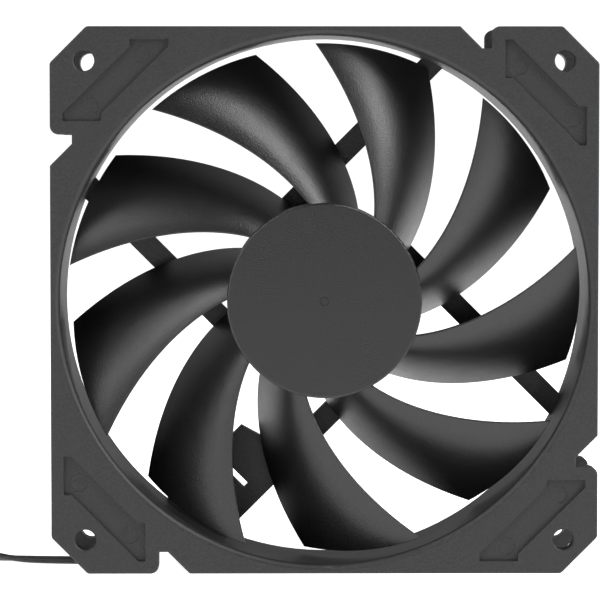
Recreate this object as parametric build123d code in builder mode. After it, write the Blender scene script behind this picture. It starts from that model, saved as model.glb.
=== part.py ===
from build123d import *
import math
import os

# A 120 mm axial case fan. X runs across the inlet face, Y from the inlet to the outlet, Z up.
# The origin is on the floor, under the middle of the frame. "Depth" is counted back from the inlet face.
# The rotor's axis lies along Y, half the frame's width above the floor.

# Frame
frame_width = 120.0
frame_depth = 25.0
flange_thickness = 4.0
corner_cut = 8.0
corner_round = 1.2
flange_edge_round = 0.35
hole_inset = 7.5
hole_radius = 2.25
hole_edge_break = 0.25
duct_side_margin = 2.0
duct_wall_thickness = 1.9
duct_lip_round = 1.3

# Notch in each side of both flanges, measured from the corner that follows it
notch_depth = 4.8
notch_start = 30.4
notch_floor_width = 2.0
notch_mouth_round = 1.9

# Sunken Z-shaped pocket in each corner of the inlet face
pocket_sink = 0.9
pocket_length = 23.2
pocket_height = 17.9
pocket_end_step = 1.65
pocket_end_width = 8.5
pocket_corner_offset = 2.75
pocket_round = 0.3
ejector_mark_radius = 2.0
ejector_mark_sink = 0.2
ejector_mark_x = 5.7
ejector_mark_z = 5.7

# Spokes and motor plate at the outlet
spoke_width = 4.9
spoke_inset = 1.6
spoke_thickness = 4.0
spoke_bearing = 45.0
spoke_start = -6.0
spoke_taper_end = 2.0
spoke_taper = 2.6
motor_plate_inset = 0.9
motor_plate_thickness = 2.0
motor_plate_rim = 1.5
motor_plate_height = 4.0
bearing_post_radius = 7.0
pocket_floor_thickness = 1.6

# Cable plate that widens one spoke, its slit, and the groove for the leads
cable_spoke_bearing = 225.0
cable_plate_start = 30.5
cable_plate_slant = 3.2
cable_plate_reach = 7.5
cable_plate_overlap = 1.0
slit_start = 41.9
slit_width = 1.4
slit_reach = 5.0
slit_overlap = 0.6
groove_width = 3.0
groove_depth = 2.8
groove_overrun = 2.0
lead_exit_from_corner = 18.0
lead_exit_room = 1.7
wall_crossing_inset = 1.0
lead_window_end = 1.5
lead_window_length = 9.0
lead_window_reach = 5.0
lead_window_lap = 1.0

# Rotor moulding
hub_radius = 21.4
hub_recess = 0.8
hub_wall = 1.5
hub_top = 1.6
hub_edge_round = 0.4
hub_to_plate_gap = 0.8
gate_mark_radius = 1.1
gate_mark_width = 0.35
gate_mark_sink = 0.2
blade_count = 9
tip_clearance = 1.6
blade_bearing = 30.0
lead_start_angle = 18.5
lead_sweep = 30.5
lead_curl = 4.0
trail_start_angle = -10.2
trail_sweep = 32.8
trail_curl = 4.7
lead_depth_root = 1.9
lead_depth_tip = 2.9
blade_to_spoke_gap = 3.2
camber_share = 0.64
blade_edge_half = 0.4
blade_middle_half_root = 1.0
blade_middle_half_tip = 0.7
blade_sections = 6

# Rotor's magnet, yoke and shaft
yoke_wall = 0.8
yoke_end_gap = 2.2
magnet_wall = 2.2
magnet_start_gap = 2.6
magnet_end_gap = 4.2
shaft_radius = 1.5
shaft_boss_radius = 4.0
shaft_boss_length = 4.0
slinger_radius = 3.0
slinger_thickness = 0.6
clip_radius = 2.6
clip_thickness = 0.4
clip_groove_sink = 0.3
clip_gap = 0.4
end_play = 0.3

# Bearing
tube_wall = 0.9
sleeve_wall = 2.1
running_clearance = 0.03
tube_top_gap = 0.8
seal_inset = 0.2
seal_thickness = 0.8
seal_clearance = 0.4
thrust_pad_thickness = 0.6
shaft_tail = 1.9

# Stator and board
air_gap = 0.6
arm_count = 4
arm_width = 5.0
pole_tip_thickness = 2.2
pole_tip_angle = 74.0
core_hub_wall = 2.0
arm_overlap = 0.5
insulator_thickness = 0.6
insulator_rim = 1.4
insulator_rim_height = 1.0
winding_thickness = 1.6
winding_gap = 0.4
board_edge_gap = 1.7
board_thickness = 1.2
board_to_plate = 2.2
board_to_insulator = 2.4
winding_front_gap = 4.2
pin_radius = 0.4
pin_tail = 0.6
driver_size = (5.0, 4.4, 1.2)
driver_height_above_axis = 11.5
capacitor_size = (2.0, 1.25, 1.1)
resistor_size = (2.0, 1.25, 0.55)
label_inset = 5.7
label_thickness = 0.3
label_recess = 0.4
label_gap = 0.2

# Lead: four wires side by side
wire_pitch = 1.3
wire_count = 4
ribbon_start_inset = 10.0
ribbon_to_rear_flange = 3.1

duct_radius = frame_width / 2 - duct_side_margin
axis_height = frame_width / 2
front_y = -frame_depth / 2
hole_spacing = frame_width - 2 * hole_inset
plate_front = frame_depth - motor_plate_height
spoke_front = frame_depth - spoke_thickness
tip_radius = duct_radius - tip_clearance
ribbon_width = wire_count * wire_pitch
motor_plate_radius = hub_radius - motor_plate_inset
spoke_offset = hub_radius - spoke_inset
board_radius = hub_radius - hub_wall - board_edge_gap
label_radius = motor_plate_radius - label_inset
ribbon_start_x = ribbon_start_inset - frame_width / 2
ribbon_y = frame_depth / 2 - flange_thickness - ribbon_to_rear_flange
rotor_axis = Axis((0, 0, axis_height), (0, 1, 0))


def face_plane(depth):
    """Plane square to the rotor axis; local x is X, local y is Z, and it faces the inlet."""
    return Plane(origin=(0, front_y + depth, axis_height), x_dir=(1, 0, 0), z_dir=(0, -1, 0))


# Plane through the axis for turned pieces: local x is depth, local y is radius.
turning_plane = Plane(origin=(0, front_y, axis_height), x_dir=(0, 1, 0), z_dir=(1, 0, 0))


def turned_ring(inner, outer, start, end):
    """A plain ring about the rotor axis between two depths."""
    with BuildPart() as ring:
        with BuildSketch(face_plane(start)):
            Circle(outer)
            if inner > 0:
                Circle(inner, mode=Mode.SUBTRACT)
        extrude(amount=start - end)
    return ring


def spoke_point(along, offset, depth, bearing=cable_spoke_bearing):
    """A point in the spoke's own directions: along it, across it, and back from the inlet face."""
    turn = math.radians(bearing)
    across = along * math.cos(turn) - offset * math.sin(turn)
    up = along * math.sin(turn) + offset * math.cos(turn)
    return Vector(across, front_y + depth, axis_height + up)


def save(piece, name):
    piece.part.label = name
    export_step(piece.part, "parts/" + name + ".step")


os.makedirs("parts", exist_ok=True)

# ---------------------------------------------------------------- frame
half_width = frame_width / 2
wall_outer_radius = duct_radius + duct_wall_thickness
spoke_inner = spoke_offset - spoke_width / 2
spoke_outer = spoke_offset + spoke_width / 2
spoke_end = duct_radius + duct_wall_thickness

notch_left = half_width - notch_start
notch_floor = half_width - notch_depth
with BuildSketch() as notch_shape:
    with BuildLine():
        Polyline(
            (notch_left, half_width),
            (notch_left + notch_depth, notch_floor),
            (notch_left + notch_depth + notch_floor_width, notch_floor),
            (notch_left + notch_depth + notch_floor_width, half_width - notch_mouth_round),
        )
        RadiusArc(
            (notch_left + notch_depth + notch_floor_width, half_width - notch_mouth_round),
            (notch_left + notch_depth + notch_floor_width + notch_mouth_round, half_width),
            notch_mouth_round,
        )
        Polyline(
            (notch_left + notch_depth + notch_floor_width + notch_mouth_round, half_width),
            (notch_left + notch_depth + notch_floor_width + notch_mouth_round, half_width + 1),
            (notch_left, half_width + 1),
            (notch_left, half_width),
        )
    make_face()

with BuildSketch() as flange_shape:
    Rectangle(frame_width, frame_width)
    chamfer(flange_shape.vertices(), corner_cut)
    fillet(flange_shape.vertices(), corner_round)
    with PolarLocations(0, 4):
        add(notch_shape.sketch, mode=Mode.SUBTRACT)
    Circle(duct_radius, mode=Mode.SUBTRACT)

# The pocket's outline, with its own middle at the origin: a slanting band with stepped ends.
pocket_half_length = pocket_length / 2
pocket_half_height = pocket_height / 2
with BuildSketch() as pocket_shape:
    with BuildLine():
        Polyline(
            (pocket_half_length, pocket_half_height),
            (pocket_half_length, pocket_half_height - pocket_end_step),
            (pocket_end_width - pocket_half_length, pocket_end_step - pocket_half_height),
            (pocket_end_width - pocket_half_length, -pocket_half_height),
            (-pocket_half_length, -pocket_half_height),
            (-pocket_half_length, pocket_end_step - pocket_half_height),
            (pocket_half_length - pocket_end_width, pocket_half_height - pocket_end_step),
            (pocket_half_length - pocket_end_width, pocket_half_height),
            close=True,
        )
    make_face()
    fillet(pocket_shape.vertices(), pocket_round)

pocket_middle = (
    -(half_width - pocket_corner_offset - pocket_half_length),
    half_width - pocket_corner_offset - pocket_half_height,
)
ejector_spots = [(-ejector_mark_x, -ejector_mark_z), (ejector_mark_x, ejector_mark_z)]

with BuildSketch() as spoke_shape:
    with PolarLocations(0, 4, start_angle=spoke_bearing):
        Polygon(
            (spoke_start, spoke_outer - spoke_taper),
            (spoke_taper_end, spoke_outer),
            (spoke_end, spoke_outer),
            (spoke_end, spoke_inner),
            (spoke_start, spoke_inner),
            align=None,
        )
    with Locations(Location((0, 0, 0), (0, 0, cable_spoke_bearing))):
        Polygon(
            (cable_plate_start, spoke_inner + cable_plate_overlap),
            (spoke_end, spoke_inner + cable_plate_overlap),
            (spoke_end, cable_plate_reach),
            (cable_plate_start + cable_plate_slant, cable_plate_reach),
            align=None,
        )
    Circle(duct_radius + duct_wall_thickness / 2, mode=Mode.INTERSECT)

# Where the leads in the groove come out through the duct wall
crossing = spoke_point(duct_radius - wall_crossing_inset, spoke_offset, frame_depth)
lead_exit_left = lead_exit_from_corner - half_width
lead_exit_height = crossing.Z + lead_exit_room
window_middle = spoke_offset + lead_window_lap - lead_window_reach / 2
post_front = plate_front - board_to_plate
tube_outer_radius = shaft_radius + running_clearance + sleeve_wall + tube_wall
tube_inner_radius = tube_outer_radius - tube_wall
tube_floor = frame_depth - pocket_floor_thickness

with BuildPart() as frame:
    # Duct wall and the two flanges
    with BuildSketch(face_plane(0)):
        Circle(wall_outer_radius)
        Circle(duct_radius, mode=Mode.SUBTRACT)
    extrude(amount=-frame_depth)
    with BuildSketch(face_plane(0)):
        add(flange_shape.sketch)
    extrude(amount=-flange_thickness)
    with BuildSketch(face_plane(frame_depth - flange_thickness)):
        add(flange_shape.sketch)
    extrude(amount=-flange_thickness)
    # Spokes, motor plate with its rim, and the post round the bearing tube
    with BuildSketch(face_plane(spoke_front)):
        add(spoke_shape.sketch)
    extrude(amount=-spoke_thickness)
    with BuildSketch(face_plane(plate_front)):
        Circle(motor_plate_radius)
    extrude(amount=-motor_plate_height)
    with BuildSketch(face_plane(plate_front)):
        Circle(motor_plate_radius - motor_plate_rim)
    extrude(amount=-(motor_plate_height - motor_plate_thickness), mode=Mode.SUBTRACT)
    with BuildSketch(face_plane(post_front)):
        Circle(bearing_post_radius)
    extrude(amount=post_front - frame_depth)
    with BuildSketch(face_plane(post_front)):
        Circle(tube_outer_radius)
    extrude(amount=post_front - tube_floor, mode=Mode.SUBTRACT)
    with BuildSketch(face_plane(frame_depth - label_recess)):
        Circle(label_radius + label_gap)
    extrude(amount=-label_recess, mode=Mode.SUBTRACT)
    # Mounting holes through both flanges
    with BuildSketch(face_plane(0)):
        with GridLocations(hole_spacing, hole_spacing, 2, 2):
            Circle(hole_radius)
    extrude(amount=-frame_depth, mode=Mode.SUBTRACT)
    fillet(frame.faces().sort_by(Axis.Y)[0].outer_wire().edges(), flange_edge_round)
    fillet(frame.faces().sort_by(Axis.Y)[-1].outer_wire().edges(), flange_edge_round)
    # Corner pockets in the inlet face, with shallow ejector marks in their floors
    with BuildSketch(face_plane(0)):
        with PolarLocations(0, 4):
            with Locations(pocket_middle):
                add(pocket_shape.sketch)
    extrude(amount=-pocket_sink, mode=Mode.SUBTRACT)
    with BuildSketch(face_plane(pocket_sink)):
        with PolarLocations(0, 4):
            with Locations(pocket_middle):
                with Locations(*ejector_spots):
                    Circle(ejector_mark_radius)
    extrude(amount=-ejector_mark_sink, mode=Mode.SUBTRACT)
    # Slit through the cable plate
    with BuildSketch(face_plane(spoke_front)):
        with Locations(Location((0, 0, 0), (0, 0, cable_spoke_bearing))):
            with Locations((slit_start + slit_width / 2, spoke_inner - slit_reach / 2 + slit_overlap)):
                Rectangle(slit_width, slit_reach)
    extrude(amount=-spoke_thickness, mode=Mode.SUBTRACT)
    # Groove for the leads in the back of the cable spoke, out through the wall and the rear flange
    with BuildSketch(face_plane(frame_depth - groove_depth)):
        with Locations(Location((0, 0, 0), (0, 0, cable_spoke_bearing))):
            with Locations(((half_width + groove_overrun) / 2, spoke_offset)):
                Rectangle(half_width + groove_overrun, groove_width)
    extrude(amount=-groove_depth, mode=Mode.SUBTRACT)
    # Lead exit: the rear flange is cut away beside the groove
    with BuildSketch(face_plane(frame_depth - flange_thickness)):
        with Locations(((lead_exit_left + crossing.X) / 2, lead_exit_height / 2 - half_width)):
            Rectangle(crossing.X - lead_exit_left, lead_exit_height)
    extrude(amount=-flange_thickness, mode=Mode.SUBTRACT)
    # Window beside the label, where the leads reach the board
    with BuildSketch(face_plane(plate_front)):
        with Locations(Location((0, 0, 0), (0, 0, cable_spoke_bearing))):
            with Locations((lead_window_end - lead_window_length / 2, window_middle)):
                Rectangle(lead_window_length, lead_window_reach)
    extrude(amount=-motor_plate_height, mode=Mode.SUBTRACT)
    # Rounded lip of the inlet
    lip = frame.edges().filter_by(GeomType.CIRCLE).filter_by(
        lambda edge: abs(edge.radius - duct_radius) < 0.01 and abs(edge.center().Y - front_y) < 0.01
    )
    fillet(lip, duct_lip_round)
    # Broken edges of the mounting holes in the inlet face
    hole_rims = frame.edges().filter_by(GeomType.CIRCLE).filter_by(
        lambda edge: abs(edge.radius - hole_radius) < 0.01 and abs(edge.center().Y - front_y) < 0.01
    )
    chamfer(hole_rims, hole_edge_break)

save(frame, "frame")

# ---------------------------------------------------------------- impeller
hub_end = plate_front - hub_to_plate_gap
hub_inner_radius = hub_radius - hub_wall
hub_ceiling = hub_recess + hub_top
trail_depth = spoke_front - blade_to_spoke_gap


def edge_angle(radius, start, sweep, curl):
    growth = math.log(radius / hub_radius)
    return start + sweep * growth + curl * growth**2


def blade_place(radius, share):
    """Bearing from the blade's own direction, and depth, at a share of the chord from the leading edge."""
    lead = edge_angle(radius, lead_start_angle, lead_sweep, lead_curl)
    trail = edge_angle(radius, trail_start_angle, trail_sweep, trail_curl)
    outward = (radius - hub_radius) / (tip_radius - hub_radius)
    lead_depth = lead_depth_root + (lead_depth_tip - lead_depth_root) * outward
    dive = share - camber_share * share * (1 - share)
    turn = math.radians(lead + share * (trail - lead) - blade_bearing)
    return turn, lead_depth + dive * (trail_depth - lead_depth)


def mean_point(distance, share):
    """Where the blade's middle surface crosses the plane at this distance along its direction."""
    near = distance / 2
    far = distance * 2
    for _ in range(40):
        radius = (near + far) / 2
        turn, depth = blade_place(radius, share)
        if radius * math.cos(turn) < distance:
            near = radius
        else:
            far = radius
    return Vector(radius * math.sin(turn), depth)


def blade_outline(distance):
    """Front points, leading nose, rear points and trailing nose of one section."""
    outward = (distance - hub_radius) / (tip_radius - hub_radius)
    middle_half = blade_middle_half_root + (blade_middle_half_tip - blade_middle_half_root) * outward
    shares = [0, 0.2, 0.4, 0.6, 0.8, 1]
    means = [mean_point(distance, share) for share in shares]
    front = []
    rear = []
    for share, mean in zip(shares, means):
        ahead = mean_point(distance, share + 0.01) - mean_point(distance, share - 0.01)
        along = ahead.normalized()
        half = blade_edge_half + (middle_half - blade_edge_half) * 4 * share * (1 - share)
        out = Vector(along.Y, -along.X) * half
        front.append(mean + out)
        rear.append(mean - out)
    nose = means[0] + (means[0] - means[1]).normalized() * blade_edge_half
    tail = means[-1] + (means[-1] - means[-2]).normalized() * blade_edge_half
    return front, nose, rear, tail


blade_turn = math.radians(blade_bearing)
first_section = 0.62 * hub_radius
section_step = (tip_radius + 1.5 - first_section) / (blade_sections - 1)
with BuildPart() as blade:
    for index in range(blade_sections):
        distance = first_section + index * section_step
        front, nose, rear, tail = blade_outline(distance)
        section_plane = Plane(
            origin=(distance * math.cos(blade_turn), front_y, axis_height + distance * math.sin(blade_turn)),
            x_dir=(-math.sin(blade_turn), 0, math.cos(blade_turn)),
            z_dir=(-math.cos(blade_turn), 0, -math.sin(blade_turn)),
        )
        with BuildSketch(section_plane):
            with BuildLine():
                Spline(*front)
                ThreePointArc(front[-1], tail, rear[-1])
                Spline(*reversed(rear))
                ThreePointArc(rear[0], nose, front[0])
            make_face()
    loft()
    with BuildSketch(face_plane(0)):
        Circle(tip_radius)
        Circle(hub_radius - hub_wall / 2, mode=Mode.SUBTRACT)
    extrude(amount=-frame_depth, mode=Mode.INTERSECT)

with BuildPart() as impeller:
    with BuildSketch(turning_plane):
        with BuildLine():
            Polyline(
                (hub_recess, 0),
                (hub_recess, hub_radius),
                (hub_end, hub_radius),
                (hub_end, hub_inner_radius),
                (hub_ceiling, hub_inner_radius),
                (hub_ceiling, 0),
                close=True,
            )
        make_face()
    revolve(axis=rotor_axis)
    fillet(
        impeller.edges().filter_by(GeomType.CIRCLE).sort_by(Axis.Y)[0],
        hub_edge_round,
    )
    with BuildSketch(face_plane(hub_recess)):
        Circle(gate_mark_radius)
        Circle(gate_mark_radius - gate_mark_width, mode=Mode.SUBTRACT)
    extrude(amount=-gate_mark_sink, mode=Mode.SUBTRACT)
    for number in range(blade_count):
        add(blade.part.rotate(rotor_axis, number * 360 / blade_count), clean=False)

save(impeller, "impeller")

# ---------------------------------------------------------------- yoke, magnet, boss, shaft
yoke_end = hub_end - yoke_end_gap
yoke_inner_radius = hub_inner_radius - yoke_wall
yoke_ceiling = hub_ceiling + yoke_wall
with BuildPart() as rotor_yoke:
    with BuildSketch(turning_plane):
        with BuildLine():
            Polyline(
                (hub_ceiling, shaft_boss_radius),
                (hub_ceiling, hub_inner_radius),
                (yoke_end, hub_inner_radius),
                (yoke_end, yoke_inner_radius),
                (yoke_ceiling, yoke_inner_radius),
                (yoke_ceiling, shaft_boss_radius),
                close=True,
            )
        make_face()
    revolve(axis=rotor_axis)
save(rotor_yoke, "rotor_yoke")

magnet_inner_radius = yoke_inner_radius - magnet_wall
magnet_start = yoke_ceiling + magnet_start_gap
magnet_end = plate_front - magnet_end_gap
save(turned_ring(magnet_inner_radius, yoke_inner_radius, magnet_start, magnet_end), "rotor_magnet")

boss_end = hub_ceiling + shaft_boss_length
save(turned_ring(shaft_radius, shaft_boss_radius, hub_ceiling, boss_end), "shaft_boss")

pad_front = tube_floor - thrust_pad_thickness
shaft_end = pad_front - end_play
clip_start = shaft_end - shaft_tail
clip_seat_radius = shaft_radius - clip_groove_sink
with BuildPart() as shaft:
    with BuildSketch(face_plane(hub_ceiling)):
        Circle(shaft_radius)
    extrude(amount=hub_ceiling - shaft_end)
    with BuildSketch(face_plane(clip_start)):
        Circle(shaft_radius)
        Circle(clip_seat_radius, mode=Mode.SUBTRACT)
    extrude(amount=-clip_thickness, mode=Mode.SUBTRACT)
    fillet(shaft.edges().filter_by(GeomType.CIRCLE).sort_by(Axis.Y)[-1], shaft_radius / 2)
save(shaft, "shaft")

slinger_end = boss_end + slinger_thickness
save(turned_ring(shaft_radius, slinger_radius, boss_end, slinger_end), "oil_slinger")

# The clip is a split ring that snaps into the shaft's groove.
with BuildPart() as retaining_clip:
    with BuildSketch(face_plane(clip_start)):
        Circle(clip_radius)
        Circle(clip_seat_radius, mode=Mode.SUBTRACT)
        with Locations((0, -clip_radius)):
            Rectangle(clip_seat_radius, clip_radius * 2, mode=Mode.SUBTRACT)
    extrude(amount=-clip_thickness)
save(retaining_clip, "retaining_clip")

# ---------------------------------------------------------------- bearing
tube_front = slinger_end + tube_top_gap
save(turned_ring(tube_inner_radius, tube_outer_radius, tube_front, tube_floor), "bearing_tube")

seal_front = tube_front + seal_inset
seal_end = seal_front + seal_thickness
save(turned_ring(shaft_radius + seal_clearance, tube_inner_radius, seal_front, seal_end), "bearing_seal")

sleeve_end = clip_start - clip_gap
save(
    turned_ring(shaft_radius + running_clearance, tube_inner_radius, seal_end, sleeve_end),
    "bearing_sleeve",
)
save(turned_ring(0, tube_inner_radius, pad_front, tube_floor), "thrust_pad")

# ---------------------------------------------------------------- stator
board_back = plate_front - board_to_plate
board_front = board_back - board_thickness
core_end = board_front - board_to_insulator
core_start = yoke_ceiling + winding_front_gap + winding_thickness + insulator_thickness
pole_radius = magnet_inner_radius - air_gap
pole_inner_radius = pole_radius - pole_tip_thickness
core_hub_radius = tube_outer_radius + core_hub_wall

pole_tip_slope = math.tan(math.radians(pole_tip_angle / 2))
with BuildSketch() as pole_wedges:
    with PolarLocations(0, arm_count):
        Polygon(
            (0, 0),
            (2 * pole_radius, -2 * pole_radius * pole_tip_slope),
            (2 * pole_radius, 2 * pole_radius * pole_tip_slope),
            align=None,
        )

with BuildSketch() as pole_shape:
    Circle(pole_radius)
    Circle(pole_inner_radius, mode=Mode.SUBTRACT)
    add(pole_wedges.sketch, mode=Mode.INTERSECT)
    with PolarLocations((pole_radius - arm_overlap) / 2, arm_count):
        Rectangle(pole_radius - arm_overlap, arm_width)
    Circle(core_hub_radius)
    Circle(tube_outer_radius, mode=Mode.SUBTRACT)

with BuildPart() as stator_core:
    with BuildSketch(face_plane(core_start)):
        add(pole_shape.sketch)
    extrude(amount=core_start - core_end)
save(stator_core, "stator_core")


def insulator(near, far, rim_side):
    """A bobbin half: the core's outline in thin plastic, with a rim that keeps the winding in."""
    with BuildPart() as half:
        with BuildSketch(face_plane(near)):
            add(pole_shape.sketch)
        extrude(amount=near - far)
        rim_start = near - insulator_rim_height if rim_side < 0 else far
        with BuildSketch(face_plane(rim_start)):
            add(pole_shape.sketch)
            Circle(pole_inner_radius + insulator_rim, mode=Mode.INTERSECT)
            Circle(pole_inner_radius, mode=Mode.SUBTRACT)
        extrude(amount=-insulator_rim_height)
    return half


save(insulator(core_start - insulator_thickness, core_start, -1), "front_insulator")
save(insulator(core_end, core_end + insulator_thickness, 1), "rear_insulator")

winding_inner_height = core_end - core_start + 2 * insulator_thickness
winding_middle = front_y + (core_start + core_end) / 2
winding_start = core_hub_radius + winding_gap
winding_side = arm_width / 2 + winding_thickness
winding_length = math.sqrt(pole_inner_radius**2 - winding_side**2) - winding_gap - winding_start
for number in range(arm_count):
    turn = math.radians(number * 360 / arm_count)
    winding_plane = Plane(
        origin=(
            winding_start * math.cos(turn),
            winding_middle,
            axis_height + winding_start * math.sin(turn),
        ),
        x_dir=(0, 1, 0),
        z_dir=(math.cos(turn), 0, math.sin(turn)),
    )
    with BuildPart() as winding:
        with BuildSketch(winding_plane):
            RectangleRounded(
                winding_inner_height + 2 * winding_thickness,
                arm_width + 2 * winding_thickness,
                winding_thickness,
            )
            Rectangle(winding_inner_height, arm_width, mode=Mode.SUBTRACT)
        extrude(amount=winding_length)
    save(winding, f"winding_{number + 1}")

# ---------------------------------------------------------------- circuit board
pin_circle = (pole_inner_radius + pole_radius) / 2
pin_start = core_end + insulator_thickness + insulator_rim_height
with BuildPart() as circuit_board:
    with BuildSketch(face_plane(board_front)):
        Circle(board_radius)
        Circle(tube_outer_radius, mode=Mode.SUBTRACT)
        with PolarLocations(pin_circle, arm_count):
            Circle(pin_radius, mode=Mode.SUBTRACT)
    extrude(amount=-board_thickness)
save(circuit_board, "circuit_board")

with BuildPart() as winding_pins:
    with BuildSketch(face_plane(pin_start)):
        with PolarLocations(pin_circle, arm_count):
            Circle(pin_radius)
    extrude(amount=pin_start - board_back - pin_tail)
save(winding_pins, "winding_pins")


def board_chips(spots, size):
    """Small parts soldered flat on the board's back; each spot is x, z and a turn in degrees."""
    length, width, height = size
    with BuildPart() as chips:
        with BuildSketch(face_plane(board_back)):
            for x, z, turn in spots:
                with Locations(Location((x, z, 0), (0, 0, turn))):
                    Rectangle(length, width)
        extrude(amount=-height)
    return chips


capacitor_spots = [(-9, 6, 30), (9, 6, -30)]
resistor_spots = [(10, -2, 90), (10, -5, 90), (7.5, -9, 45)]
save(board_chips([(0, driver_height_above_axis, 0)], driver_size), "motor_driver")
save(board_chips(capacitor_spots, capacitor_size), "capacitors")
save(board_chips(resistor_spots, resistor_size), "resistors")

label_front = frame_depth - label_recess
save(turned_ring(0, label_radius, label_front, label_front + label_thickness), "rear_label")

# ---------------------------------------------------------------- leads held by the frame
# Two over two in the spoke's groove, then side by side before they leave the frame.
groove_middle = frame_depth - groove_depth / 2
pad_offset = board_radius - 1.8
pad_spots = [(-0.2, pad_offset), (-3.8, pad_offset), (-2.0, pad_offset), (-5.6, pad_offset)]
pad_radius = 0.8
pad_thickness = 0.15
with BuildPart() as solder_pads:
    for along, offset in pad_spots:
        spot = spoke_point(along, offset, board_back)
        with BuildSketch(Plane(origin=spot, x_dir=(1, 0, 0), z_dir=(0, -1, 0))):
            Circle(pad_radius)
        extrude(amount=-pad_thickness)
save(solder_pads, "solder_pads")

quarter = wire_pitch / 2
bundle_half = 0.72
bundle_height = crossing.Z + 0.35
bundle_turn_x = crossing.X - 4.2
bundle_drop_x = 23.4 - half_width
bundle_drop_y = ribbon_y + 1.0
bundle_drop_height = bundle_height - 0.85
ribbon_lay_x = 16.5 - half_width
inner_wire_radius = 0.55
inner_wire_bend = 1.6
wall_crossing = duct_radius - wall_crossing_inset
bundle_sides = [-1, 1, -1, 1]
bundle_layers = [-1, -1, 1, 1]
ribbon_places = [-3, -1, 1, 3]
ribbon_height = wire_pitch / 2
groove_y = front_y + groove_middle
with BuildPart() as inner_leads:
    for number in range(wire_count):
        side = bundle_sides[number] * bundle_half
        layer = bundle_layers[number] * bundle_half
        place = ribbon_places[number] * quarter
        across = Vector(math.sqrt(0.5), 0, -math.sqrt(0.5)) * side
        deep = Vector(0, 1, 0) * layer
        below = Vector(0, 0, -1) * side
        mitre = Vector(math.tan(math.pi / 8), 0, -1) * side
        spread = Vector(0, 1, 0) * place
        groove_start = spoke_point(2, spoke_offset, groove_middle) + across + deep
        groove_end = spoke_point(wall_crossing, spoke_offset, groove_middle) + mitre + deep
        with BuildLine() as route:
            FilletPolyline(
                groove_start,
                groove_end,
                Vector(bundle_turn_x, groove_y, bundle_height) + below + deep,
                Vector(bundle_drop_x, bundle_drop_y, bundle_drop_height) + below + spread,
                Vector(ribbon_lay_x, ribbon_y, ribbon_height) + spread,
                Vector(ribbon_start_x, ribbon_y, ribbon_height) + spread,
                radius=inner_wire_bend,
            )
        with BuildSketch(Plane(origin=groove_start, z_dir=route.line % 0)):
            Circle(inner_wire_radius)
        sweep(path=route.line)
save(inner_leads, "inner_leads")

lead_end_radius = 0.3
lead_end_gap = 0.25
with BuildPart() as lead_ends:
    for number in range(wire_count):
        along, offset = pad_spots[number]
        side = bundle_sides[number] * bundle_half
        layer = bundle_layers[number] * bundle_half
        across = Vector(math.sqrt(0.5), 0, -math.sqrt(0.5)) * side
        outer = spoke_point(2, spoke_offset, groove_middle) + across + Vector(0, 1, 0) * layer
        inner = spoke_point(along, offset, board_back + pad_thickness)
        with BuildSketch(Plane(origin=outer, z_dir=inner - outer)):
            Circle(lead_end_radius)
        extrude(amount=(inner - outer).length - lead_end_gap)
save(lead_ends, "lead_ends")

# ---------------------------------------------------------------- free lead, hank and connector
# The flat lead's route on the floor, swinging across to the side of the hank.
lead_joins_hank_y = 12.2
lead_swing = lead_joins_hank_y - ribbon_y
lead_route = [
    (ribbon_start_x, ribbon_y),
    (ribbon_start_x - 10.0, ribbon_y + 0.044 * lead_swing),
    (ribbon_start_x - 20.0, ribbon_y + 0.206 * lead_swing),
    (ribbon_start_x - 29.5, ribbon_y + 0.515 * lead_swing),
    (ribbon_start_x - 39.0, ribbon_y + lead_swing),
]
hank_right = ribbon_start_x - 34.0
hank_left = hank_right - 90.0
hank_loop_radius = 15.5
hank_waist_half = 4.9
hank_height = 6.1
tie_wall = 0.7
tie_width = 3.4
hank_middle = (hank_right + hank_left) / 2


def route_radii(points):
    """Each corner's radius: 0.45 of its shorter run, divided by the tangent of half the turn."""
    radii = []
    for before, corner, after in zip(points, points[1:], points[2:]):
        come = Vector(*corner) - Vector(*before)
        go = Vector(*after) - Vector(*corner)
        half_turn = math.radians(come.get_angle(go)) / 2
        radii.append(0.45 * min(come.length, go.length) / math.tan(half_turn))
    return radii


lead_radii = route_radii(lead_route)
print("lead radii, mm:", [round(radius, 1) for radius in lead_radii])
with BuildPart() as lead:
    with BuildLine(Plane.XY.offset(ribbon_height)):
        lead_path = FilletPolyline(*lead_route, radius=lead_radii)
    with BuildSketch(Plane(origin=lead_path @ 0, x_dir=(0, 0, 1), z_dir=lead_path % 0)):
        Rectangle(wire_pitch, ribbon_width)
    sweep(path=lead_path)
swept_volume = wire_pitch * ribbon_width * lead_path.length
print("lead volume over section times length:", round(lead.part.volume / swept_volume, 4))
save(lead, "lead")

connector_length = 12.0
connector_width = 10.4
connector_height = 6.0
connector_back = hank_middle - 21.0
cavity_size = 1.9
pin_pitch = 2.54
cavity_depth = 9.0
connector_room = 0.3
connector_edge_round = 0.3
terminal_wall = 0.35
terminal_inset = 1.0
with BuildPart() as lead_hank:
    with BuildSketch():
        with Locations((hank_right - hank_loop_radius, 0), (hank_left + hank_loop_radius, 0)):
            Circle(hank_loop_radius)
        with Locations((hank_middle, 0)):
            Rectangle(hank_right - hank_left - 2 * hank_loop_radius, 2 * hank_waist_half)
    extrude(amount=hank_height)
    with BuildSketch():
        with Locations((connector_back - connector_length / 2, 0)):
            Rectangle(connector_length, connector_width + 2 * connector_room)
    extrude(amount=hank_height, mode=Mode.SUBTRACT)
    with BuildSketch():
        with Locations((hank_middle, 0)):
            Rectangle(tie_width, 2 * hank_waist_half)
    extrude(amount=tie_wall, mode=Mode.SUBTRACT)
save(lead_hank, "lead_hank")

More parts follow.
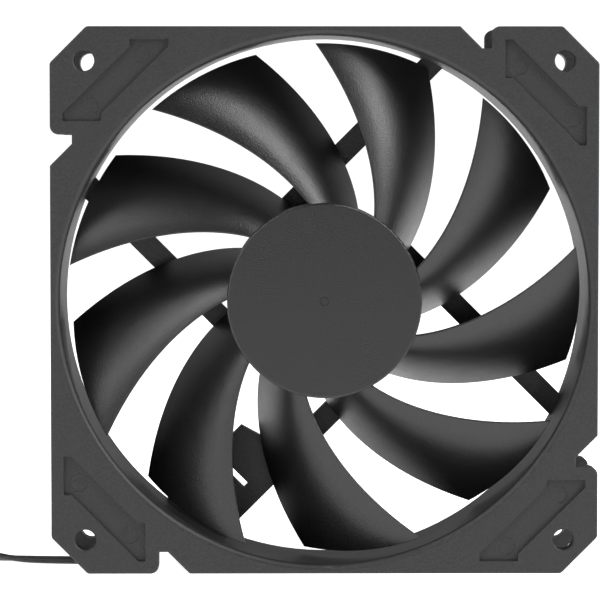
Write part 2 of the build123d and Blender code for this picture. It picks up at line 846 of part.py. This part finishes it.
with BuildPart() as hank_tie:
    with BuildSketch(Plane.YZ.offset(hank_middle - tie_width / 2)):
        with Locations((0, (hank_height + tie_wall) / 2)):
            RectangleRounded(2 * (hank_waist_half + tie_wall), hank_height + tie_wall, tie_wall * 0.8)
        with Locations((0, (hank_height + tie_wall) / 2)):
            Rectangle(2 * hank_waist_half, hank_height - tie_wall, mode=Mode.SUBTRACT)
    extrude(amount=tie_width)
save(hank_tie, "hank_tie")

with BuildPart() as connector_housing:
    with BuildSketch():
        with Locations((connector_back - connector_length / 2, 0)):
            Rectangle(connector_length, connector_width)
    extrude(amount=connector_height)
    fillet(connector_housing.edges().filter_by(Axis.X), connector_edge_round)
    with BuildSketch(Plane.YZ.offset(connector_back - connector_length)):
        with Locations((0, connector_height / 2)):
            with GridLocations(pin_pitch, 1, wire_count, 1):
                Rectangle(cavity_size, cavity_size)
    extrude(amount=cavity_depth, mode=Mode.SUBTRACT)
save(connector_housing, "connector_housing")

terminal_bore = cavity_size - 2 * terminal_wall
with BuildPart() as connector_terminals:
    with BuildSketch(Plane.YZ.offset(connector_back - connector_length + terminal_inset)):
        with Locations((0, connector_height / 2)):
            with GridLocations(pin_pitch, 1, wire_count, 1):
                Rectangle(cavity_size, cavity_size)
                Rectangle(terminal_bore, terminal_bore, mode=Mode.SUBTRACT)
    extrude(amount=cavity_depth - terminal_inset)
save(connector_terminals, "connector_terminals")
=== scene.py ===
import math

import bpy
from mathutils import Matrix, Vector


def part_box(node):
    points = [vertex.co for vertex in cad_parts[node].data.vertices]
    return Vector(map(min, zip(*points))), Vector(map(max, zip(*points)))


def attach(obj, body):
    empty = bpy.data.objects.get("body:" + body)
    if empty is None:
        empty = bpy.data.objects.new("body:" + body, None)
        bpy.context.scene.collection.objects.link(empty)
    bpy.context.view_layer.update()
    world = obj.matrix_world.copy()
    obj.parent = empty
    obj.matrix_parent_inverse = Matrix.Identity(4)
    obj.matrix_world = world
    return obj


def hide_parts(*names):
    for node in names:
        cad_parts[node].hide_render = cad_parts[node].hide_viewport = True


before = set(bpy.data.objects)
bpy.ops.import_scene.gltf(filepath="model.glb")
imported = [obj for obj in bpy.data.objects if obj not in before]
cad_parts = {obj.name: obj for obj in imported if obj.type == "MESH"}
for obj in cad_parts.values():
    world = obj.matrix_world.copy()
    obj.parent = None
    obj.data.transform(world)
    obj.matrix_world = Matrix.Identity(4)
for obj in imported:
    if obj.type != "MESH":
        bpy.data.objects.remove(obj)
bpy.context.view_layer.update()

# ---------------------------------------------------------------- studio
# A plain white floor and a white wall behind the fan, with the room in front kept dim, so that the
# duct's wall shines at a low angle while the black mouldings stay dark and keep soft highlights.
frame_low, frame_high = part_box("frame")
axis_height = (frame_low[2] + frame_high[2]) / 2
inlet_y = frame_low[1]

camera_distance = 0.665
camera_side = -0.0110
camera_rise = 0.0333
camera_looks_down = math.radians(2.844)
camera_turns_right = math.radians(0.483)
camera_data = bpy.data.cameras.new("camera")
camera_data.sensor_width = 36
camera_data.lens = 182.6
camera = bpy.data.objects.new("camera", camera_data)
camera.location = (camera_side, inlet_y - camera_distance, axis_height + camera_rise)
camera.rotation_euler = (math.pi / 2 - camera_looks_down, 0, -camera_turns_right)
bpy.context.collection.objects.link(camera)
bpy.context.scene.camera = camera
bpy.context.scene.view_settings.view_transform = "Standard"

# The wall that the camera sees is plain white. What lights the fan fades from a dim room in front
# of it to a bright one behind it.
front_strength = 0.01
back_strength = 0.5
room = bpy.data.worlds.new("studio_room")
room.use_nodes = True
room_tree = room.node_tree
seen_wall = room_tree.nodes["Background"]
seen_wall.inputs["Color"].default_value = (1, 1, 1, 1)
seen_wall.inputs["Strength"].default_value = 1.1
direction = room_tree.nodes.new("ShaderNodeTexCoord")
split = room_tree.nodes.new("ShaderNodeSeparateXYZ")
room_tree.links.new(direction.outputs["Generated"], split.inputs["Vector"])
fade = room_tree.nodes.new("ShaderNodeMapRange")
fade.interpolation_type = "SMOOTHSTEP"
fade.inputs["From Min"].default_value = 0.1
fade.inputs["From Max"].default_value = 0.6
fade.inputs["To Min"].default_value = front_strength
fade.inputs["To Max"].default_value = back_strength
room_tree.links.new(split.outputs["Y"], fade.inputs["Value"])
room_light = room_tree.nodes.new("ShaderNodeBackground")
room_tree.links.new(fade.outputs["Result"], room_light.inputs["Strength"])
ray_kind = room_tree.nodes.new("ShaderNodeLightPath")
wall_or_room = room_tree.nodes.new("ShaderNodeMixShader")
room_tree.links.new(ray_kind.outputs["Is Camera Ray"], wall_or_room.inputs["Fac"])
room_tree.links.new(room_light.outputs["Background"], wall_or_room.inputs[1])
room_tree.links.new(seen_wall.outputs["Background"], wall_or_room.inputs[2])
room_tree.links.new(wall_or_room.outputs["Shader"], room_tree.nodes["World Output"].inputs["Surface"])
bpy.context.scene.world = room

floor_reach = 3.0
floor_mesh = bpy.data.meshes.new("floor")
floor_mesh.from_pydata(
    [(-floor_reach, -floor_reach, 0), (floor_reach, -floor_reach, 0),
     (floor_reach, floor_reach, 0), (-floor_reach, floor_reach, 0)],
    [], [(0, 1, 2, 3)],
)
floor = bpy.data.objects.new("floor", floor_mesh)
bpy.context.collection.objects.link(floor)
floor_finish = bpy.data.materials.new("white_floor")
floor_finish.use_nodes = True
floor_shader = floor_finish.node_tree.nodes["Principled BSDF"]
floor_shader.inputs["Base Color"].default_value = (0.9, 0.9, 0.9, 1)
floor_shader.inputs["Roughness"].default_value = 0.9
floor_shader.inputs["Emission Color"].default_value = (1, 1, 1, 1)
floor_shader.inputs["Emission Strength"].default_value = 1.0
floor_mesh.materials.append(floor_finish)

fan_middle = Vector((0, 0, axis_height))
lamp_size = 0.5


def add_lamp(name, place, power):
    """A square soft lamp that faces the middle of the fan; place in metres, power in watts."""
    lamp_data = bpy.data.lights.new(name, "AREA")
    lamp_data.size = lamp_size
    lamp_data.energy = power
    lamp = bpy.data.objects.new(name, lamp_data)
    lamp.location = place
    lamp.rotation_euler = (fan_middle - Vector(place)).to_track_quat("-Z", "Y").to_euler()
    bpy.context.collection.objects.link(lamp)


add_lamp("right_lamp", (0.9, -0.4, 0.5), power=8.9)
add_lamp("top_right_lamp", (0.6, -0.45, 1), power=8.9)
add_lamp("top_left_lamp", (-0.6, -0.45, 1), power=4.3)
add_lamp("left_high_lamp", (-0.65, -0.75, 0.75), power=3.8)
add_lamp("left_low_lamp", (-0.9, -0.6, 0.3), power=2.6)

# ---------------------------------------------------------------- flat lead
# Four stranded wires in black vinyl sleeves, joined side by side into a flat ribbon about 500 mm long.
# It lies flat on the floor where it leaves the frame, then stands on edge in the folded hank beside
# the fan, where the tie holds it.
MM = 0.001
wire_pitch = 1.3
wire_count = 4
wire_radius = wire_pitch / 2
ribbon_width = wire_count * wire_pitch
lying_height = wire_radius
edge_height = ribbon_width / 2
waist_height = 3.4

hank_middle = -129.0
hank_turns = 2
turn_step = 2.05
loop_reach = 44.2
loop_half_width = 14.4
waist_half_length = 8
waist_flare = 1.15
first_waist_y = 4.1

# How far each point of a loop stops short of its far end, and its share of the loop's half width.
loop_shape = [(24, 0.78), (13, 1.06), (3, 0.86), (-1.5, 0.0), (3, -0.86), (13, -1.06), (24, -0.78)]


def loop_points(end, turn_number):
    """The loop at one end of the hank: end is -1 on the left and 1 on the right."""
    reach = loop_reach - turn_step * turn_number
    half_width = loop_half_width - turn_step * turn_number
    # Wound anticlockwise seen from above, so the left loop starts at the back and the right one in front.
    side = -end
    return [
        (hank_middle + end * (reach - short), side * half_width * share, edge_height, 1.0)
        for short, share in loop_shape
    ]


def waist_points(waist_y, going):
    """The short straight stretch under the tie; going is -1 towards the left and 1 towards the right."""
    return [
        (hank_middle - going * waist_half_length, waist_y * waist_flare, waist_height, 1.0),
        (hank_middle, waist_y, waist_height, 1.0),
        (hank_middle + going * waist_half_length, waist_y * waist_flare, waist_height, 1.0),
    ]


# Each point: x, y, z in mm, and how far the ribbon has turned from flat to on edge (0 to 1).
lead_points = [
    (-50, 5.4, lying_height, 0.0),
    (-60, 5.7, lying_height, 0.0),
    (-70, 6.8, 0.85, 0.05),
    (-79.5, 8.9, 2.0, 0.45),
    (-89, 12.2, 2.65, 0.95),
    (-99, 14.2, edge_height, 1.0),
    (-110, 10.6, edge_height, 1.0),
]
for turn_number in range(hank_turns):
    waist_y = first_waist_y - turn_step * turn_number
    lead_points += waist_points(waist_y, -1)
    lead_points += loop_points(-1, turn_number)
    lead_points += waist_points(-waist_y, 1)
    lead_points += loop_points(1, turn_number + 1)
lead_points += [
    (hank_middle + 8, 0.4, waist_height, 1.0),
    (hank_middle, 0.0, waist_height, 1.0),
    (hank_middle - 8, 0.0, waist_height, 0.9),
    (hank_middle - 14, 0.0, 3.1, 0.35),
    (hank_middle - 21, 0.0, 3.0, 0.0),
]

lead_curve = bpy.data.curves.new("flat_lead", "CURVE")
lead_curve.dimensions = "3D"
lead_curve.twist_mode = "Z_UP"
lead_curve.resolution_u = 8
spline = lead_curve.splines.new("NURBS")
spline.points.add(len(lead_points) - 1)
for point, (x, y, z, on_edge) in zip(spline.points, lead_points):
    point.co = (x * MM, y * MM, z * MM, 1)
    point.tilt = on_edge * math.pi / 2
spline.order_u = 3
spline.use_endpoint_u = True

# The ribbon's section: four round wires that meet in narrow webs. It goes round the wires' upper
# halves, and then back round their lower ones.
steps_per_wire = 7
web_half_angle = math.radians(24)
outline = []
for side in (1, -1):
    for wire in range(wire_count):
        middle = (wire - (wire_count - 1) / 2) * wire_pitch * side
        first = web_half_angle if wire > 0 else 0.0
        last = math.pi - web_half_angle if wire < wire_count - 1 else math.pi
        for step in range(steps_per_wire):
            angle = first + (last - first) * step / (steps_per_wire - 1)
            across = middle - side * wire_radius * math.cos(angle)
            up = side * wire_radius * math.sin(angle)
            outline.append((across, up))

section_curve = bpy.data.curves.new("ribbon_section", "CURVE")
section_curve.dimensions = "2D"
section = section_curve.splines.new("POLY")
section.points.add(len(outline) - 1)
for point, (across, up) in zip(section.points, outline):
    point.co = (across * MM, up * MM, 0, 1)
section.use_cyclic_u = True
section_object = bpy.data.objects.new("ribbon_section", section_curve)
bpy.context.collection.objects.link(section_object)
section_object.hide_render = True
section_object.hide_viewport = True
lead_curve.bevel_mode = "OBJECT"
lead_curve.bevel_object = section_object
lead_curve.use_fill_caps = True
flat_lead = bpy.data.objects.new("flat_lead", lead_curve)
bpy.context.collection.objects.link(flat_lead)


def start_finish(name, metallic):
    """A new finish: its material, its node tree and its shader."""
    material = bpy.data.materials.new(name)
    material.use_nodes = True
    tree = material.node_tree
    shader = tree.nodes["Principled BSDF"]
    shader.inputs["Metallic"].default_value = metallic
    return material, tree, shader


def shade_between(tree, shader, pattern, dark, light, dark_until=0.0, light_from=1.0):
    """Colours the surface from dark to light as the pattern goes from low to high."""
    shades = tree.nodes.new("ShaderNodeValToRGB")
    shades.color_ramp.elements[0].position = dark_until
    shades.color_ramp.elements[0].color = (*dark, 1)
    shades.color_ramp.elements[1].position = light_from
    shades.color_ramp.elements[1].color = (*light, 1)
    tree.links.new(pattern, shades.inputs["Fac"])
    tree.links.new(shades.outputs["Color"], shader.inputs["Base Color"])


def raise_pattern(tree, shader, pattern, relief):
    """Lets the pattern stand up by the relief, in metres, and gives back the node that does it."""
    bump = tree.nodes.new("ShaderNodeBump")
    bump.inputs["Distance"].default_value = relief
    tree.links.new(pattern, bump.inputs["Height"])
    tree.links.new(bump.outputs["Normal"], shader.inputs["Normal"])
    return bump


def grained_finish(name, dark, light, roughness, grain, relief, metallic=0.0, edge_round=0.0):
    """A surface with a fine grain of the given size in metres, speckled between two shades."""
    material, tree, shader = start_finish(name, metallic)
    place = tree.nodes.new("ShaderNodeTexCoord")
    grains = tree.nodes.new("ShaderNodeTexNoise")
    grains.inputs["Scale"].default_value = 1 / grain
    grains.inputs["Detail"].default_value = 2
    tree.links.new(place.outputs["Object"], grains.inputs["Vector"])
    shade_between(tree, shader, grains.outputs["Fac"], dark, light, dark_until=0.35, light_from=0.65)

    # Broad soft patches, a dozen grains wide, where the surface is a little duller or shinier.
    mottle = tree.nodes.new("ShaderNodeTexNoise")
    mottle.inputs["Scale"].default_value = 0.08 / grain
    mottle.inputs["Detail"].default_value = 3
    tree.links.new(place.outputs["Object"], mottle.inputs["Vector"])
    shine = tree.nodes.new("ShaderNodeMapRange")
    shine.inputs["To Min"].default_value = roughness - 0.05
    shine.inputs["To Max"].default_value = roughness + 0.05
    tree.links.new(mottle.outputs["Fac"], shine.inputs["Value"])
    tree.links.new(shine.outputs["Result"], shader.inputs["Roughness"])

    bump = raise_pattern(tree, shader, grains.outputs["Fac"], relief)
    if edge_round > 0:
        soft_edge = tree.nodes.new("ShaderNodeBevel")
        soft_edge.samples = 4
        soft_edge.inputs["Radius"].default_value = edge_round
        tree.links.new(soft_edge.outputs["Normal"], bump.inputs["Normal"])
    return material


wire_sleeve = grained_finish(
    "lead_sleeve", dark=(0.006, 0.006, 0.006), light=(0.010, 0.010, 0.010),
    roughness=0.42, grain=0.0006, relief=0.00001,
)
lead_curve.materials.append(wire_sleeve)
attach(flat_lead, "housing")
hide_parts("lead", "lead_hank")

# ---------------------------------------------------------------- frame
# One black glass-filled nylon moulding: flanges, duct, spokes and motor plate. The faces carry a fine
# spark-eroded grain, and the edges are left barely rounded by the mould.


def dress(finish, *names):
    """Gives the named pieces one finish in place of the plain one they come with."""
    for name in names:
        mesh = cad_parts[name].data
        mesh.materials.clear()
        mesh.materials.append(finish)


frame_plastic = grained_finish(
    "frame_plastic", dark=(0.0018, 0.0018, 0.0019), light=(0.0098, 0.0098, 0.0102),
    roughness=0.54, grain=0.0004, relief=0.00007, edge_round=0.0002,
)
dress(frame_plastic, "frame")

# ---------------------------------------------------------------- impeller
# Hub and nine swept blades in one black moulding, polished a little finer than the frame, so the
# blades show long soft highlights with a faint grain.
rotor_plastic = grained_finish(
    "rotor_plastic", dark=(0.001, 0.001, 0.0011), light=(0.0072, 0.0072, 0.0075),
    roughness=0.36, grain=0.0003, relief=0.00005, edge_round=0.0002,
)
dress(rotor_plastic, "impeller")

# ---------------------------------------------------------------- yoke, magnet, boss and shaft
# Deep-drawn steel cup pressed into the hub, a ferrite ring glued inside it, and a ground steel shaft
# held in a turned brass boss.


def banded_finish(name, dark, light, roughness, pitch, pattern, along, relief, metallic=0.0):
    """Even bands or rings of the given pitch in metres: tool marks, stacked sheets or wound wire."""
    material, tree, shader = start_finish(name, metallic)
    shader.inputs["Roughness"].default_value = roughness
    place = tree.nodes.new("ShaderNodeTexCoord")
    on_axis = tree.nodes.new("ShaderNodeMapping")
    on_axis.inputs["Location"].default_value = (0, 0, -axis_height)
    tree.links.new(place.outputs["Object"], on_axis.inputs["Vector"])
    bands = tree.nodes.new("ShaderNodeTexWave")
    bands.wave_type = pattern
    bands.bands_direction = along
    bands.rings_direction = along
    # The wave repeats every pi / 10 of a unit at a scale of one.
    bands.inputs["Scale"].default_value = math.pi / 10 / pitch
    bands.inputs["Distortion"].default_value = 0.4
    tree.links.new(on_axis.outputs["Vector"], bands.inputs["Vector"])
    shade_between(tree, shader, bands.outputs["Color"], dark, light)
    raise_pattern(tree, shader, bands.outputs["Color"], relief)
    return material


yoke_steel = banded_finish(
    "yoke_steel", dark=(0.42, 0.43, 0.44), light=(0.5, 0.51, 0.52),
    roughness=0.38, pitch=0.0006, pattern="RINGS", along="Y", relief=0.000005, metallic=1.0,
)
dress(yoke_steel, "rotor_yoke")
ferrite = grained_finish(
    "ferrite", dark=(0.030, 0.030, 0.032), light=(0.048, 0.047, 0.048),
    roughness=0.62, grain=0.0002, relief=0.00001,
)
dress(ferrite, "rotor_magnet")
brass = banded_finish(
    "turned_brass", dark=(0.62, 0.45, 0.17), light=(0.72, 0.54, 0.22),
    roughness=0.3, pitch=0.0002, pattern="RINGS", along="Y", relief=0.000003, metallic=1.0,
)
dress(brass, "shaft_boss")
ground_steel = banded_finish(
    "ground_steel", dark=(0.58, 0.58, 0.59), light=(0.66, 0.66, 0.67),
    roughness=0.16, pitch=0.0001, pattern="BANDS", along="Y", relief=0.000001, metallic=1.0,
)
dress(ground_steel, "shaft")

# ---------------------------------------------------------------- bearing
# A brass tube pushed into the post holds the porous bronze sleeve. A rubber ring keeps dust out, and
# white nylon is used for the washer, the split clip and the pad that carries the shaft's end.
dress(brass, "bearing_tube")
sintered_bronze = grained_finish(
    "sintered_bronze", dark=(0.30, 0.19, 0.09), light=(0.46, 0.30, 0.15),
    roughness=0.5, grain=0.00012, relief=0.00002, metallic=0.9,
)
dress(sintered_bronze, "bearing_sleeve")
seal_rubber = grained_finish(
    "seal_rubber", dark=(0.014, 0.014, 0.014), light=(0.022, 0.022, 0.022),
    roughness=0.75, grain=0.0003, relief=0.00002,
)
dress(seal_rubber, "bearing_seal")
nylon = grained_finish(
    "white_nylon", dark=(0.70, 0.69, 0.65), light=(0.80, 0.79, 0.75),
    roughness=0.42, grain=0.0005, relief=0.00001,
)
dress(nylon, "oil_slinger", "retaining_clip", "thrust_pad")

# ---------------------------------------------------------------- stator
# Stamped silicon-steel sheets stacked into four poles, capped front and back by nylon bobbins, with
# enamelled copper wire wound in even layers round each arm.
core_steel = banded_finish(
    "core_steel", dark=(0.20, 0.20, 0.21), light=(0.36, 0.36, 0.37),
    roughness=0.42, pitch=0.0005, pattern="BANDS", along="Y", relief=0.00002, metallic=0.9,
)
dress(core_steel, "stator_core")
dress(nylon, "front_insulator", "rear_insulator")


def wound_copper(name, along):
    """Copper wire in even layers, its turns set side by side along the arm it is wound on."""
    return banded_finish(
        name, dark=(0.40, 0.13, 0.05), light=(0.72, 0.29, 0.12),
        roughness=0.28, pitch=0.00022, pattern="BANDS", along=along, relief=0.00005, metallic=0.9,
    )


dress(wound_copper("wound_copper_across", "X"), "winding_1", "winding_3")
dress(wound_copper("wound_copper_up", "Z"), "winding_2", "winding_4")

# ---------------------------------------------------------------- circuit board
# A small round glass-epoxy board with green mask sits behind the stator; the driver chip, capacitors
# and resistors are soldered flat on its back, and tinned pins bring the windings through it.
board_green = grained_finish(
    "board_green", dark=(0.008, 0.085, 0.030), light=(0.018, 0.140, 0.050),
    roughness=0.34, grain=0.0009, relief=0.00002,
)
dress(board_green, "circuit_board")
chip_epoxy = grained_finish(
    "chip_epoxy", dark=(0.012, 0.012, 0.013), light=(0.022, 0.022, 0.023),
    roughness=0.55, grain=0.00015, relief=0.000008,
)
dress(chip_epoxy, "motor_driver", "resistors")
capacitor_ceramic = grained_finish(
    "capacitor_ceramic", dark=(0.36, 0.25, 0.15), light=(0.46, 0.33, 0.20),
    roughness=0.4, grain=0.0003, relief=0.000008,
)
dress(capacitor_ceramic, "capacitors")
solder = grained_finish(
    "solder", dark=(0.55, 0.55, 0.54), light=(0.68, 0.68, 0.66),
    roughness=0.24, grain=0.0007, relief=0.00004, metallic=1.0,
)
dress(solder, "winding_pins", "solder_pads")

# ---------------------------------------------------------------- rear label
# A blank round of pale metallised film stuck into the shallow seat at the back of the motor plate.
# It is cut by a die, so its edge is clean, and nothing is printed on it.
label_film = grained_finish(
    "label_film", dark=(0.52, 0.52, 0.53), light=(0.60, 0.60, 0.61),
    roughness=0.32, grain=0.0012, relief=0.000004, metallic=0.7,
)
dress(label_film, "rear_label")

# ---------------------------------------------------------------- leads inside the frame
# The same black wires run separately in the spoke's groove, and their tinned ends are soldered to
# the board through the window beside the label.
dress(wire_sleeve, "inner_leads", "lead", "lead_hank")
dress(solder, "lead_ends")

# ---------------------------------------------------------------- tie and connector
# A black nylon band holds the hank at its waist. The lead ends in a black four-way nylon housing with
# tin-plated crimped terminals set back in its cavities.
tie_nylon = grained_finish(
    "tie_nylon", dark=(0.010, 0.010, 0.010), light=(0.016, 0.016, 0.016),
    roughness=0.45, grain=0.0005, relief=0.00002,
)
dress(tie_nylon, "hank_tie")
connector_nylon = grained_finish(
    "connector_nylon", dark=(0.012, 0.012, 0.012), light=(0.019, 0.019, 0.019),
    roughness=0.4, grain=0.0004, relief=0.00001, edge_round=0.0001,
)
dress(connector_nylon, "connector_housing")
dress(solder, "connector_terminals")
